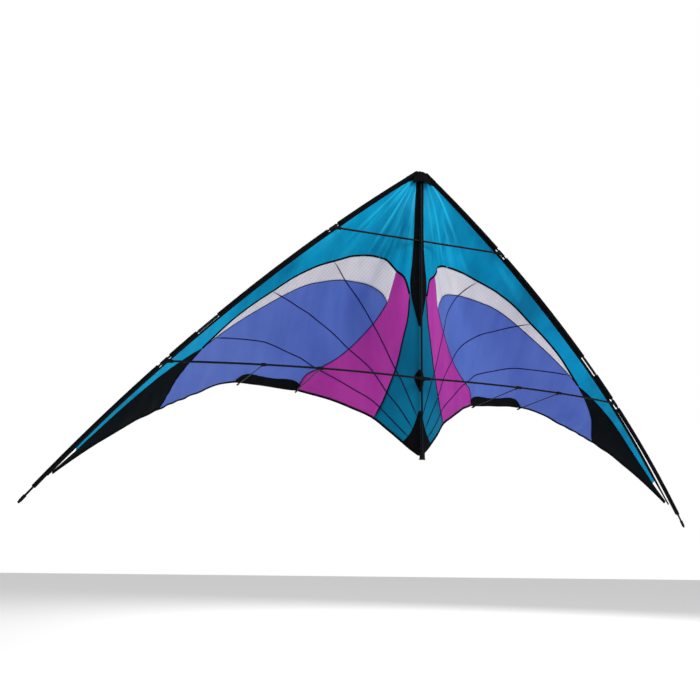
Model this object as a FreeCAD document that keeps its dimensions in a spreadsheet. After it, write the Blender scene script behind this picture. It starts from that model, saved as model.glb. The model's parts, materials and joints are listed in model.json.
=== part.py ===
import FreeCAD, Part
import math
import os
import Sketcher
from FreeCAD import Placement, Rotation, Vector

# Dual-line delta kite. Millimetres, +X along the span, +Y away from the flyer, +Z to the nose.
# The origin is on the spine's axis, level with the lower spreaders at the centre tee.

DRIVING = {
    "half_span": 1090.0,          # centre line to the tip of a leading edge spar
    "nose_height": 682.0,         # origin up to the upper ends of the leading edge spars
    "tail_drop": 232.5,           # origin down to the tail point of the sail
    "tip_drop": 396.5,            # origin down to the wing tips
    "tip_sweep": 183.0,           # how far the wing tips lie behind the spine
    "nose_gap": 11.5,             # centre line to the upper end of each leading edge spar
    "nose_rake": 3.7,             # how far those ends stand in front of the spine
    "edge_bend_radius": 4640.0,   # both leading edge spars bow to this radius
    "spar_radius": 3.0,
    "spine_radius": 3.0,
    "tube_wall": 1.0,
    "spread_radius": 3.0,         # lower spreaders
    "cross_radius": 3.0,          # upper spreader
    "spread_bend_radius": 1740.0,
    "spread_front": 14.0,         # lower spreader sockets stand this far in front of the spine
    "socket_depth": 14.0,
    "socket_wall": 2.0,
    "fit": 0.05,                  # radial clearance of a tube in its socket
    "upper_fitting_run": 362.0,   # along the leading edge from its upper end
    "lower_fitting_run": 1011.0,
    "ferrule_run": 850.0,         # middle of the ferrule
    "ferrule_length": 70.0,
    "ferrule_wall": 1.2,
    "fitting_length": 26.0,
    "cross_behind": 6.8,          # upper spreader's axis behind the spine's axis
    "sleeve_radius": 6.0,
    "sleeve_clear": 0.5,          # between a spar and its sleeve, and a sleeve and the nose webbing
    "sleeve_window": 44.0,        # gap in the sleeve at each fitting
    "tee_height": 40.0,
    "tee_reach": 20.0,
    "tail_cap_radius": 8.0,
    "tail_cap_length": 20.0,
    "standoff_radius": 1.5,
    "clip_length": 14.0,
    "clip_reach": 16.0,
    "inner_clip_x": 323.0,
    "outer_clip_x": 484.0,
    "inner_hold_x": 314.0,
    "outer_hold_x": 504.0,
    "hold_length": 16.0,
    "hold_wall": 1.2,
    "nock_radius": 4.6,
    "nock_length": 26.0,
    "nock_slot": 2.0,
    "cloth": 0.6,                 # thickness given to the sail cloth
    "seam_gap": 2.4,              # clear strip between neighbouring panels
    "keel_back": 12.4,            # centre seam of the sail behind the spine's axis
    "edge_drop": 12.5,            # sail cloth starts this far below the leading edge's line
    "hem_width": 6.0,
    "nose_cover_length": 46.0,
    "cover_wall": 1.2,
}

doc = FreeCAD.newDocument("delta_kite")
sheet = doc.addObject("Spreadsheet::Sheet", "Sizes")
for row, (alias, size) in enumerate(DRIVING.items(), start=1):
    sheet.set(f"A{row}", alias)
    sheet.set(f"B{row}", str(size))
    sheet.setAlias(f"B{row}", alias)
doc.recompute()

nodes = []


def size(alias):
    return float(sheet.get(alias))


def cell(text):
    """Puts the sheet's name before every alias that the text holds between angle brackets."""
    return text.replace("<", "Sizes.").replace(">", "")


def bind(thing, **sizes):
    for prop, text in sizes.items():
        thing.setExpression(prop, cell(text))
    return thing


def primitive(kind, name, at=Vector(), turn=Rotation(), **sizes):
    thing = doc.addObject("Part::" + kind, name)
    bind(thing, **sizes)
    thing.Placement = Placement(at, turn)
    return thing


def boolean(kind, name, base, tool):
    """A Part::Cut, or a Part::MultiFuse or Part::Compound of two lists."""
    thing = doc.addObject("Part::" + kind, name)
    if kind == "Cut":
        thing.Base = base
        thing.Tool = tool
    elif kind == "Compound":
        thing.Links = base
    else:
        thing.Shapes = base
    return thing


def keep(thing, node, at=None, turn=None):
    """Marks an object as a sub-part, and stands it in its place."""
    thing.Label = node
    if at is not None:
        thing.Placement = Placement(at, turn or Rotation())
    nodes.append(thing)
    return thing


# ---- Lines that several pieces share ---------------------------------------------------------


def mirrored(vector, side):
    return Vector(vector.x * side, vector.y, vector.z)


class Bow:
    """A circular arc between two points, bulging towards a given side."""

    def __init__(self, start, end, radius, bulge):
        self.radius = radius
        span = end - start
        self.along = Vector(span).normalize()
        off = bulge - self.along * bulge.dot(self.along)
        self.out = off.normalize()
        self.half = math.asin(span.Length / 2 / radius)
        self.centre = (start + end) * 0.5 - self.out * (radius * math.cos(self.half))
        self.length = 2 * self.half * radius

    def radial(self, run):
        turn = run / self.radius - self.half
        return self.out * math.cos(turn) + self.along * math.sin(turn)

    def point(self, run):
        return self.centre + self.radial(run) * self.radius

    def tangent(self, run):
        turn = run / self.radius - self.half
        return self.along * math.cos(turn) - self.out * math.sin(turn)

    def frame(self, run):
        """Placement of a torus whose swept solid starts at this run."""
        first, second = self.radial(run), self.tangent(run)
        return self.centre, Rotation(first, second, first.cross(second), "XYZ")

    def run_at_x(self, x):
        low, high = 0.0, self.length
        for _ in range(40):
            middle = (low + high) / 2
            if abs(self.point(middle).x) < abs(x):
                low = middle
            else:
                high = middle
        return (low + high) / 2


def lined_up(line, run, back):
    """Start and direction of a straight line that touches a bow at a run, from further back."""
    way = line.tangent(run)
    return line.point(run) - way * back, way


def leading_edge(side):
    start = Vector(size("nose_gap"), -size("nose_rake"), size("nose_height"))
    end = Vector(size("half_span"), size("tip_sweep"), -size("tip_drop"))
    bulge = Vector(0, -0.8, 1)
    return Bow(mirrored(start, side), mirrored(end, side), size("edge_bend_radius"), bulge)


def spreader_line(side):
    start = Vector(0, -size("spread_front"), 0)
    end = leading_edge(side).point(size("lower_fitting_run"))
    return Bow(start, end, size("spread_bend_radius"), Vector(0, -1, 0))


EDGE = leading_edge(1)
SPREAD = spreader_line(1)

# ---- Bowed and straight tubes ------------------------------------------------------------------


def bowed_tube(name, line, first, last, bend, outer, bore):
    """A tube along part of a bow, from one run to another."""
    centre, turn = line.frame(first)
    sweep = f"({last - first}) / {bend} * 180 / pi"
    parts = [
        primitive("Torus", name + ending, Radius1=bend, Radius2=radius, Angle3=sweep)
        for ending, radius in (("_outside", outer), ("_inside", bore))
    ]
    tube = boolean("Cut", name, *parts)
    tube.Placement = Placement(centre, turn)
    return tube


def straight_tube(name, outer, bore, length):
    outside = primitive("Cylinder", name + "_outside", Radius=outer, Height=length)
    inside = primitive("Cylinder", name + "_inside", Radius=bore, Height=length)
    return boolean("Cut", name, outside, inside)


def rod(name, radius, length):
    return primitive("Cylinder", name, Radius=radius, Height=length)


# ---- Spine, tail cap, centre tee ---------------------------------------------------------------


def spine():
    length = "<nose_height> + <tail_drop> - 12"
    tube = straight_tube("spine", "<spine_radius>", "<spine_radius> - <tube_wall>", length)
    keep(tube, "spine", Vector(0, 0, -size("tail_drop")))


def sketch_on(body, name, role):
    plane = next(f for f in body.Origin.OriginFeatures if f.Role == role)
    sketch = body.newObject("Sketcher::SketchObject", name)
    sketch.AttachmentSupport = (plane, [""])
    sketch.MapMode = "FlatFace"
    return sketch


def revolved_body(node, outline):
    """A PartDesign body turned about Z. The outline lists (radius, height) corners as texts."""
    body = doc.addObject("PartDesign::Body", node)
    sketch = sketch_on(body, node + "_outline", "XZ_Plane")
    count = len(outline)
    rough = [(2.0 + 3 * math.cos(6.28 * i / count), 3 * math.sin(6.28 * i / count))
             for i in range(count)]
    for i, (x, y) in enumerate(rough):
        following = rough[(i + 1) % count]
        sketch.addGeometry(Part.LineSegment(Vector(x, y, 0), Vector(*following, 0)))
    for i in range(count):
        sketch.addConstraint(Sketcher.Constraint("Coincident", i, 2, (i + 1) % count, 1))
    for i, corner in enumerate(outline):
        for kind, text, start in zip(("DistanceX", "DistanceY"), corner, rough[i]):
            index = sketch.addConstraint(Sketcher.Constraint(kind, -1, 1, i, 1, start))
            sketch.setExpression(f"Constraints[{index}]", cell(text))
    turned = body.newObject("PartDesign::Revolution", node + "_turned")
    turned.Profile = sketch
    turned.ReferenceAxis = (sketch, ["V_Axis"])
    turned.Angle = 360
    return body


def tail_cap():
    bore, top = "<spine_radius> + <fit>", "<tail_cap_length>"
    outline = [("0", "0"), ("<tail_cap_radius> + 2", "0"), ("<tail_cap_radius>", "5"),
               ("<tail_cap_radius>", top), (bore, top), (bore, "8"), ("0", "8")]
    keep(revolved_body("tail_cap", outline), "tail_cap", Vector(0, 0, -size("tail_drop") - 8))


def facing(direction):
    return Rotation(Vector(0, 0, 1), direction)


def pierced(node, solids, bores):
    """Joins solids and cuts bores out of them."""
    whole = boolean("MultiFuse", node + "_solids", solids, None)
    holes = boolean("MultiFuse", node + "_bores", bores, None)
    return keep(boolean("Cut", node, whole, holes), node)


def socket_middle():
    return size("tee_reach") - size("socket_depth") / 2


def way_out(start, way):
    """The open back of a socket: the rod leaves through it when its wing folds back."""
    slot = primitive("Box", "tee_slot", Length="<tee_reach>", Height="2 * (<spread_radius> + <fit>)",
                     Width="<spread_radius> + 2 * <socket_wall>")
    back = Vector(0, 1, 0)
    up = way.cross(back).normalize()
    corner = start - up * (size("spread_radius") + size("fit"))
    slot.Placement = Placement(corner, Rotation(way, back, up, "XYZ"))
    return slot


def centre_tee():
    height = "<tee_height>"
    half = Vector(0, 0, -size("tee_height") / 2)
    solids = [rod("tee_sleeve", "<spine_radius> + <socket_wall>", height)]
    bores = [rod("tee_bore", "<spine_radius> + <fit>", height)]
    solids[0].Placement.Base = half
    bores[0].Placement.Base = half
    web = primitive("Box", "tee_web", Vector(-5, -size("spread_front"), -6),
                    Length="10", Width="<spread_front> - 2", Height="12")
    solids.append(web)
    for side in (-1, 1):
        first, middle = size("tee_reach") - size("socket_depth"), socket_middle()
        start, way = lined_up(spreader_line(side), middle, middle)
        arm = rod("tee_arm", "<spread_radius> + <socket_wall>", "<tee_reach>")
        socket = rod("tee_socket", "<spread_radius> + <fit>", "<tee_reach>")
        arm.Placement = Placement(start, facing(way))
        socket.Placement = Placement(start + way * first, facing(way))
        solids.append(arm)
        bores.extend([socket, way_out(start + way * first, way)])
    pierced("centre_tee", solids, bores)


def saddle(node, spot, shaft, shaft_radius, sleeve_length, root, arm_way, arm_radius, reach,
           depth):
    """A moulded fitting: a sleeve round a shaft, with an arm whose socket takes a rod's end.

    The sleeve is centred on the spot, and the arm's line starts at the root.
    """
    start = spot - shaft * (sleeve_length[1] / 2)
    along, out = facing(shaft), facing(arm_way)
    sleeve = rod(node + "_sleeve", f"{shaft_radius} + <socket_wall>", sleeve_length[0])
    arm = rod(node + "_arm", f"{arm_radius} + <socket_wall>", f"{reach[0]}")
    bore = rod(node + "_bore", f"{shaft_radius} + <fit>", sleeve_length[0])
    socket = rod(node + "_socket", f"{arm_radius} + <fit>", f"{depth[0]}")
    sleeve.Placement = Placement(start, along)
    bore.Placement = Placement(start, along)
    arm.Placement = Placement(root, out)
    socket.Placement = Placement(root + arm_way * (reach[1] - depth[1]), out)
    return pierced(node, [sleeve, arm], [bore, socket])


def named(side):
    return "right_" if side > 0 else "left_"


SOCKET_START = 10.0    # clear of the spar that crosses behind the socket
CLIP_START = 6.0
END_GAP = 0.5          # between a rod's end and the bottom of its socket


def spars(side):
    line, name = leading_edge(side), named(side)
    bend = "<edge_bend_radius>"
    tube = ("<spar_radius>", "<spar_radius> - <tube_wall>")
    joint, half = size("ferrule_run"), size("ferrule_length") / 2
    end = line.length - size("nock_length") + 8
    pieces = {
        "upper_spar": (0, joint - 0.5, *tube),
        "lower_spar": (joint + 0.5, end, *tube),
        "ferrule": (joint - half, joint + half,
                    "<spar_radius> + <ferrule_wall>", "<spar_radius> + <fit>"),
    }
    for piece, (first, last, outer, bore) in pieces.items():
        keep(bowed_tube(name + piece, line, first, last, bend, outer, bore), name + piece)


def edge_fittings(side):
    line, name = leading_edge(side), named(side)
    length = ("<fitting_length>", size("fitting_length"))
    depth = ("<socket_depth>", size("socket_depth"))
    reach = (f"{SOCKET_START} + <socket_depth>", SOCKET_START + size("socket_depth"))
    upper, lower = size("upper_fitting_run"), size("lower_fitting_run")
    spot = line.point(upper)
    root = Vector(spot.x, size("cross_behind"), spot.z)
    saddle(name + "upper_fitting", spot, line.tangent(upper), "<spar_radius>", length, root,
           Vector(-side, 0, 0), "<cross_radius>", reach, depth)
    rod_line, middle = spreader_line(side), SOCKET_START + size("socket_depth") / 2
    root, way = lined_up(rod_line, rod_line.length - middle, -middle)
    saddle(name + "lower_fitting", line.point(lower), line.tangent(lower), "<spar_radius>",
           length, root, way * -1, "<spread_radius>", reach, depth)


def upper_spreader():
    spot = EDGE.point(size("upper_fitting_run"))
    half = spot.x - SOCKET_START - END_GAP
    tube = straight_tube("upper_spreader", "<cross_radius>", "<cross_radius> - <tube_wall>",
                         f"{2 * half}")
    keep(tube, "upper_spreader", Vector(-half, size("cross_behind"), spot.z),
         facing(Vector(1, 0, 0)))


def lower_spreader(side):
    line = spreader_line(side)
    first = size("tee_reach") - size("socket_depth") + END_GAP
    last = line.length - SOCKET_START - END_GAP
    tube = bowed_tube(named(side) + "lower_spreader", line, first, last,
                      "<spread_bend_radius>", "<spread_radius>",
                      "<spread_radius> - <tube_wall>")
    keep(tube, named(side) + "lower_spreader")


def nock(side):
    """Cap on a wing tip, slotted for the tension line."""
    node = named(side) + "tip_nock"
    outer, bore, length = "<nock_radius>", "<spar_radius> + <fit>", "<nock_length>"
    seat = "<nock_length> - 8"
    body = revolved_body(node, [(bore, "0"), (outer, "0"), (outer, seat),
                                ("<nock_radius> - 1.5", length), ("0", length),
                                ("0", seat), (bore, seat)])
    doc.recompute()
    sketch = sketch_on(body, node + "_slot_outline", "XZ_Plane")
    half, low, high = size("nock_slot") / 2, size("nock_length") - 5, size("nock_length") + 2
    corners = [Vector(-half, low, 0), Vector(half, low, 0), Vector(half, high, 0),
               Vector(-half, high, 0)]
    for i in range(4):
        sketch.addGeometry(Part.LineSegment(corners[i], corners[(i + 1) % 4]))
        sketch.addConstraint(Sketcher.Constraint("Horizontal" if i % 2 == 0 else "Vertical", i))
    for i in range(4):
        sketch.addConstraint(Sketcher.Constraint("Coincident", i, 2, (i + 1) % 4, 1))
    for kind, first, second, text in (("DistanceX", (0, 1), (0, 2), "<nock_slot>"),
                                      ("DistanceY", (1, 1), (1, 2), "7"),
                                      ("DistanceY", (-1, 1), (0, 1), "<nock_length> - 5"),
                                      ("DistanceX", (0, 1), (-1, 1), "<nock_slot> / 2")):
        index = sketch.addConstraint(Sketcher.Constraint(kind, *first, *second, 1.0))
        sketch.setExpression(f"Constraints[{index}]", cell(text))
    slot = body.newObject("PartDesign::Pocket", node + "_slot")
    slot.Profile = sketch
    slot.Midplane = True
    bind(slot, Length="4 * <nock_radius>")
    body.Tip = slot
    line = leading_edge(side)
    run = line.length - size("nock_length")
    keep(body, node, line.point(run), facing(line.tangent(line.length)))


# ---- The sail's surface ------------------------------------------------------------------------
# A place on one wing's cloth is given by its share of the half span, and by its share of the
# way from the leading edge's line (0) to the trailing edge (1).

# share of the half span, then how far the cloth billows behind the leading edge's line at the
# four stations below
STATIONS = (0.0, 0.2, 0.45, 0.72, 1.0)
BILLOW = (
    (0.055, 40, 46, 50, 52),
    (0.110, 82, 100, 100, 101),
    (0.183, 106, 165, 170, 165),
    (0.288, 88, 168, 231, 275),
    (0.370, 86, 150, 229, 287),
    (0.462, 72, 124, 192, 266),
    (0.570, 54, 91, 133, 201),
    (0.690, 42, 66, 92, 133),
    (0.825, 30, 46, 61, 75),
    (1.000, 0, 0, 0, 0),
)
# height of the trailing edge: shares of the tail's drop, then shares of the tip's drop
INNER_TRAIL = ((0, -1.0), (0.03, -0.877), (0.07, -0.68), (0.11, -0.482), (0.16, -0.335),
               (0.21, -0.198), (0.24, -0.128), (0.288, -0.03))
OUTER_TRAIL = ((0.288, -0.018), (0.37, 0.005), (0.462, 0.01), (0.515, -0.03), (0.57, -0.115),
               (0.66, -0.255), (0.75, -0.41), (0.825, -0.56), (0.9, -0.73), (0.96, -0.883),
               (1.0, -1.0))


def smooth(points, at):
    """A curve through (place, value) points, with a slope at each from its two neighbours."""
    last = len(points) - 1
    k = 0
    while k < last - 1 and at > points[k + 1][0]:
        k += 1

    def slope(i):
        before, after = points[max(i - 1, 0)], points[min(i + 1, last)]
        return (after[1] - before[1]) / (after[0] - before[0])

    (x0, y0), (x1, y1) = points[k], points[k + 1]
    width = x1 - x0
    t = (at - x0) / width
    return (y0 * (2 * t**3 - 3 * t**2 + 1) + slope(k) * width * (t**3 - 2 * t**2 + t)
            + y1 * (3 * t**2 - 2 * t**3) + slope(k + 1) * width * (t**3 - t**2))


def edge_point(x):
    """The leading edge's line at a distance from the centre line."""
    return EDGE.point(EDGE.run_at_x(max(x, size("nose_gap"))))


def trail_height(x):
    share = x / size("half_span")
    if share < INNER_TRAIL[-1][0]:
        return size("tail_drop") * smooth(INNER_TRAIL, share)
    return size("tip_drop") * smooth(OUTER_TRAIL, share)


def outline_point(share, chord):
    """(x, z) of a place on the sail as seen along Y."""
    x = share * size("half_span")
    top = edge_point(x).z
    return x, top + chord * (trail_height(x) - top)


def cloth_back(x, z):
    """How far behind the spine's axis the cloth lies."""
    edge = edge_point(x)
    chord = (edge.z - z) / (edge.z - trail_height(x))
    seam = size("keel_back") + size("nose_rake")
    ribs = [(0.0, seam, seam, seam, seam), *BILLOW]
    share = x / size("half_span")
    depth = [(0.0, seam * max(0.0, 1 - share / 0.06) ** 2)] + [
        (station, smooth([(rib[0], rib[i]) for rib in ribs], share))
        for i, station in enumerate(STATIONS) if i
    ]
    return edge.y + smooth(depth, min(max(chord, 0.0), 1.0))


def cloth_point(x, z, forward, side):
    """A point on a wing's cloth, moved towards the flyer square to the cloth."""
    step = 2.0
    slope_x = (cloth_back(x + step, z) - cloth_back(x, z)) / step
    slope_z = (cloth_back(x, z + step) - cloth_back(x, z - step)) / (2 * step)
    normal = Vector(slope_x, -1, slope_z).normalize()
    return mirrored(Vector(x, cloth_back(x, z), z) + normal * forward, side)


def sail_height(share):
    """Leading edge's line down to the trailing edge."""
    x = share * size("half_span")
    return edge_point(x).z - trail_height(x)


def below_edge(share):
    """A place just clear of the leading edge sleeve."""
    return share, size("edge_drop") / sail_height(share)


def above_hem(share):
    return share, 1 - size("hem_width") / sail_height(share)


# Edges of the panels
CENTRE = 0.003
TOP = ((0.015, 0.045), *(below_edge(share) for share in (
    0.03, 0.06, 0.1, 0.15, 0.2, 0.28, 0.35, 0.42, 0.5, 0.56, 0.62, 0.68, 0.74, 0.8, 0.83, 0.86)))
BAND = ((0.026, 0.45), (0.04, 0.385), (0.06, 0.35), (0.085, 0.29), (0.115, 0.255), (0.15, 0.225),
        (0.185, 0.205), (0.235, 0.195), (0.295, 0.18), (0.355, 0.165), (0.41, 0.175),
        (0.47, 0.187), (0.52, 0.215), (0.56, 0.272), (0.588, 0.318))
BAND_END = ((0.617, 0.395), (0.65, 0.57), (0.667, 0.78), above_hem(0.684))
STRIP = ((0.655, 0.295), (0.72, 0.27), (0.79, 0.29), (0.83, 0.33), (0.86, 0.385))
MESH_LOW = ((0.08, 0.478), (0.092, 0.44), (0.115, 0.4), (0.139, 0.366), (0.185, 0.322),
            (0.22, 0.305), (0.271, 0.288), (0.321, 0.27), (0.374, 0.266), (0.45, 0.28),
            (0.51, 0.292), (0.55, 0.302), (0.582, 0.322))
ACCENT_OUT = ((0.08, 0.478), (0.094, 0.526), (0.109, 0.571), (0.13, 0.619), (0.166, 0.695),
              (0.2, 0.764), (0.239, 0.829), (0.268, 0.88))
KEEL_OUT = ((0.026, 0.45), (0.03, 0.533), (0.042, 0.618), (0.058, 0.736), (0.075, 0.83),
            (0.089, 0.909), above_hem(0.107))
PATCH_TOP = ((0.277, 0.955), (0.294, 0.93), (0.317, 0.92), (0.358, 0.925), (0.394, 0.915),
             (0.431, 0.9), (0.45, 0.915), (0.468, 0.95))
HEM = (0.03, 0.07, 0.11, 0.16, 0.21, 0.25, 0.288, 0.33, 0.37, 0.42, 0.462, 0.515, 0.57, 0.63,
       0.69, 0.75, 0.8, 0.85, 0.9)

PANELS = {
    "leading_panel": (TOP, ((0.0235, 0.445), (0.031, 0.42), *BAND[1:], *STRIP)),
    "mesh_panel": (BAND[2:], MESH_LOW),
    "main_panel": ((*MESH_LOW, *BAND_END),
                   ((0.082, 0.49), *ACCENT_OUT[1:-1], (0.277, 0.866), (0.3, 0.9),
                    (0.358, 0.905),
                    (0.431, 0.88), (0.462, 0.9), above_hem(0.485), above_hem(0.55),
                    above_hem(0.62), above_hem(0.68))),
    "accent_panel": (((0.029, 0.475), *KEEL_OUT[1:]),
                     ((0.063, 0.375), *ACCENT_OUT, above_hem(0.272))),
    "keel_panel": (((CENTRE, 0.48), (CENTRE, 0.7), (CENTRE, 0.96)), KEEL_OUT),
    "tip_panel": (((0.6, 0.345), *STRIP, (0.9, 0.48), (0.92, 0.6)),
                  (*BAND_END[:3], *(above_hem(share) for share in (0.69, 0.75, 0.83, 0.9,
                                                                   0.92)))),
    "edge_patch": (PATCH_TOP, tuple(above_hem(share) for share in (0.29, 0.35, 0.42, 0.463))),
    "trailing_hem": (tuple(above_hem(share) for share in HEM),
                     tuple((share, 1.0) for share in HEM)),
    "centre_tape": (((CENTRE, 0.06), (CENTRE, 0.3), (CENTRE, 0.55)),
                    ((0.012, 0.06), (0.015, 0.25), (0.021, 0.42), (0.018, 0.46), (0.006, 0.55))),
    "tail_patch": (((CENTRE, 0.85), (CENTRE, 0.9), (CENTRE, 0.97)),
                   ((0.005, 0.85), (0.018, 0.92), (0.04, 0.985))),
    "tee_patch": (((CENTRE, 0.71), (CENTRE, 0.745), (CENTRE, 0.785)),
                  ((0.005, 0.71), (0.014, 0.745), (0.006, 0.785))),
}
ON_TOP = {"centre_tape": 1.6, "tail_patch": 1.6, "tee_patch": 1.6}
STEPS = {"leading_panel": (44, 12), "centre_tape": (40, 5), "keel_panel": (30, 9),
         "main_panel": (40, 10), "trailing_hem": (60, 3)}


def resampled(points, count):
    """Evenly spaced places along the smooth curve through an edge's points."""
    flat = [outline_point(*p) for p in points]
    runs = [0.0]
    for (x0, z0), (x1, z1) in zip(flat, flat[1:]):
        runs.append(runs[-1] + math.hypot(x1 - x0, z1 - z0))
    places = [runs[-1] * i / (count - 1) for i in range(count)]
    return [tuple(smooth([(run, p[axis]) for run, p in zip(runs, points)], place)
                  for axis in (0, 1)) for place in places]


def skin(first, second, across, forward, side):
    """A surface between two edges, whose rows run straight in shares of span and chord."""
    rows = []
    for start, end in zip(first, second):
        width = math.dist(outline_point(*start), outline_point(*end))
        gap = min(size("seam_gap") / 2 / width, 0.4)
        row = []
        for j in range(across):
            t = gap + (1 - 2 * gap) * j / (across - 1)
            x, z = outline_point(*(a + (b - a) * t for a, b in zip(start, end)))
            row.append(cloth_point(x, z, forward, side))
        rows.append(row)
    surface = Part.BSplineSurface()
    surface.interpolate(rows)
    return surface


def cloth(piece, side):
    """A closed thin solid between two skins of a panel."""
    along, across = STEPS.get(piece, (26, 7))
    first, second = (resampled(edge, along) for edge in PANELS[piece])
    forward = ON_TOP.get(piece, 0.0)
    sheets = [skin(first, second, across, forward + half * size("cloth") / 2, side)
              for half in (-1, 1)]
    faces = [sheet.toShape() for sheet in sheets]
    for pick in (lambda s: s.uIso(s.bounds()[0]), lambda s: s.uIso(s.bounds()[1]),
                 lambda s: s.vIso(s.bounds()[2]), lambda s: s.vIso(s.bounds()[3])):
        front, back = (pick(sheet).toShape() for sheet in sheets)
        faces.append(Part.makeRuledSurface(front, back))
    shell = Part.makeShell(faces)
    shell.sewShape()
    solid = Part.makeSolid(shell)
    if solid.Volume < 0:
        solid.reverse()
    thing = doc.addObject("Part::Feature", named(side) + piece)
    thing.Shape = solid
    keep(thing, named(side) + piece)


def sleeve(side):
    """The leading edge sleeve, open at both fittings and at the ferrule."""
    line, node = leading_edge(side), named(side) + "edge_sleeve"
    window = size("sleeve_window") / 2
    upper, lower = size("upper_fitting_run"), size("lower_fitting_run")
    joint, half = size("ferrule_run"), size("ferrule_length") / 2 + 5
    stops = [6, upper - window, upper + window, joint - half, joint + half, lower - window,
             lower + window, line.length - size("nock_length") - 30]
    tubes = [bowed_tube(f"{node}_{i}", line, stops[i], stops[i + 1], "<edge_bend_radius>",
                        "<sleeve_radius>", "<spar_radius> + <sleeve_clear>") for i in range(0, len(stops), 2)]
    keep(boolean("Compound", node, tubes, None), node)


def nose_cover(side):
    line, node = leading_edge(side), named(side) + "nose_cover"
    keep(bowed_tube(node, line, -2, size("nose_cover_length"), "<edge_bend_radius>",
                    "<sleeve_radius> + <sleeve_clear> + <cover_wall>",
                    "<sleeve_radius> + <sleeve_clear>"), node)


# ---- Standoffs ---------------------------------------------------------------------------------


def standoff(side, place):
    """A rod that holds the trailing edge away from the spreader, its clip and its holder."""
    name = f"{named(side)}{place}_"
    line = spreader_line(side)
    run = line.run_at_x(size(place + "_clip_x"))
    clip, shaft = line.point(run), line.tangent(run)
    x = size(place + "_hold_x")
    back = cloth_point(x, trail_height(x), 4.0, side)
    hold = back + Vector(0, 0, -5)
    way = Vector(hold - clip)
    reach = way.Length
    way.normalize()
    length = ("<clip_length>", size("clip_length"))
    depth = (f"<clip_reach> - {CLIP_START}", size("clip_reach") - CLIP_START)
    saddle(name + "clip", clip, shaft, "<spread_radius>", length, clip, way,
           "<standoff_radius>", ("<clip_reach>", size("clip_reach")), depth)
    bar = rod(name + "standoff", "<standoff_radius>", f"{reach - CLIP_START - 3 - 2 * END_GAP}")
    keep(bar, name + "standoff", clip + way * (CLIP_START + END_GAP), facing(way))
    node = name + "holder"
    cup = rod(node + "_cup", "<standoff_radius> + <hold_wall>", "<hold_length>")
    bore = rod(node + "_bore", "<standoff_radius> + <fit>", "<hold_length>")
    cup.Placement = Placement(hold - way * size("hold_length"), facing(way))
    bore.Placement = Placement(hold - way * (size("hold_length") + 3), facing(way))
    keep(boolean("Cut", node, cup, bore), node)


# ---- The whole kite ----------------------------------------------------------------------------


def build():
    spine()
    tail_cap()
    centre_tee()
    upper_spreader()
    for side in (-1, 1):
        spars(side)
        edge_fittings(side)
        lower_spreader(side)
        nock(side)
        for place in ("inner", "outer"):
            standoff(side, place)
        for piece in PANELS:
            cloth(piece, side)
        sleeve(side)
        nose_cover(side)
    doc.recompute()


def faults():
    """Objects that failed, and sub-parts without a sound shape."""
    found = [o.Name for o in doc.Objects if {"Invalid", "Error"} & set(o.State)]
    found += [o.Label for o in nodes if o.Shape.isNull() or not o.Shape.isValid()]
    return found


def main():
    build()
    if faults():
        raise RuntimeError("these failed: " + ", ".join(faults()))
    os.makedirs("parts", exist_ok=True)
    for thing in nodes:
        thing.Shape.exportStep(f"parts/{thing.Label}.step")
    print(len(nodes), "sub-parts written")


main()
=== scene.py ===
import json
import math

import bmesh
import bpy
import numpy as np
from mathutils import Matrix, Vector, noise


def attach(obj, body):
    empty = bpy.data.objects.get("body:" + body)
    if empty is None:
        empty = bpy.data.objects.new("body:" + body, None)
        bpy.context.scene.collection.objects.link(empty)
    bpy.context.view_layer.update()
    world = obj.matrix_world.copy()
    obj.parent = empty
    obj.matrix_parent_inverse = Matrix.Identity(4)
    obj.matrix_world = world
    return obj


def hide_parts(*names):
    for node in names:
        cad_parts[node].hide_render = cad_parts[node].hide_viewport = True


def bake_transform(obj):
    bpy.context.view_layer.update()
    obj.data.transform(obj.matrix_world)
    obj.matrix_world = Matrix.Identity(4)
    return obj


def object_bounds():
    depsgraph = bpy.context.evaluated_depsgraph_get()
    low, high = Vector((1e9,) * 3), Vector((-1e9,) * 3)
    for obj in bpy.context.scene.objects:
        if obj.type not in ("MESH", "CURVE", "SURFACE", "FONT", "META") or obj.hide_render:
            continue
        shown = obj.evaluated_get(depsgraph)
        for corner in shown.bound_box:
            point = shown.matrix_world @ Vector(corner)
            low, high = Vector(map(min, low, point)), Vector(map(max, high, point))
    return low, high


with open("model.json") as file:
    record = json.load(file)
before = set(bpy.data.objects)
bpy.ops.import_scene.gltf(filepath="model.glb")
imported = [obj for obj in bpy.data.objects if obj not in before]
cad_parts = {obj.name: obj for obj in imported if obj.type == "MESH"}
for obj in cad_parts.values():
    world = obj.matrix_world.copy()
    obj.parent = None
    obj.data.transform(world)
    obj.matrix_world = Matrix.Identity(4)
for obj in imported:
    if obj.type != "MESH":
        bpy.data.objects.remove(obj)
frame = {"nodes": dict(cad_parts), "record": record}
cad_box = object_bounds()

# ---- Sizes of the kite, in metres, as the CAD has them ---------------------------------------
HALF_SPAN = 1.090
NOSE = (0.0115, -0.0037, 0.682)      # upper end of the right leading edge spar
TIP = (1.090, 0.183, -0.3965)
EDGE_RADIUS = 4.640
TAIL_DROP, TIP_DROP = 0.2325, 0.3965
KEEL_BACK = 0.0124
UPPER_RUN, LOWER_RUN, FERRULE_RUN = 0.362, 1.011, 0.850
EDGE_DROP = 0.0125                   # where the CAD's cloth starts, below the leading edge's line
UNDER_FACING = 0.005                 # how much further up the visible cloth runs, behind the facing
HEM_WIDTH, INTO_HEM = 0.0066, 0.0035 # the hem, and how far above its lower edge the cloth ends

STATIONS = (0.0, 0.2, 0.45, 0.72, 1.0)
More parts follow.
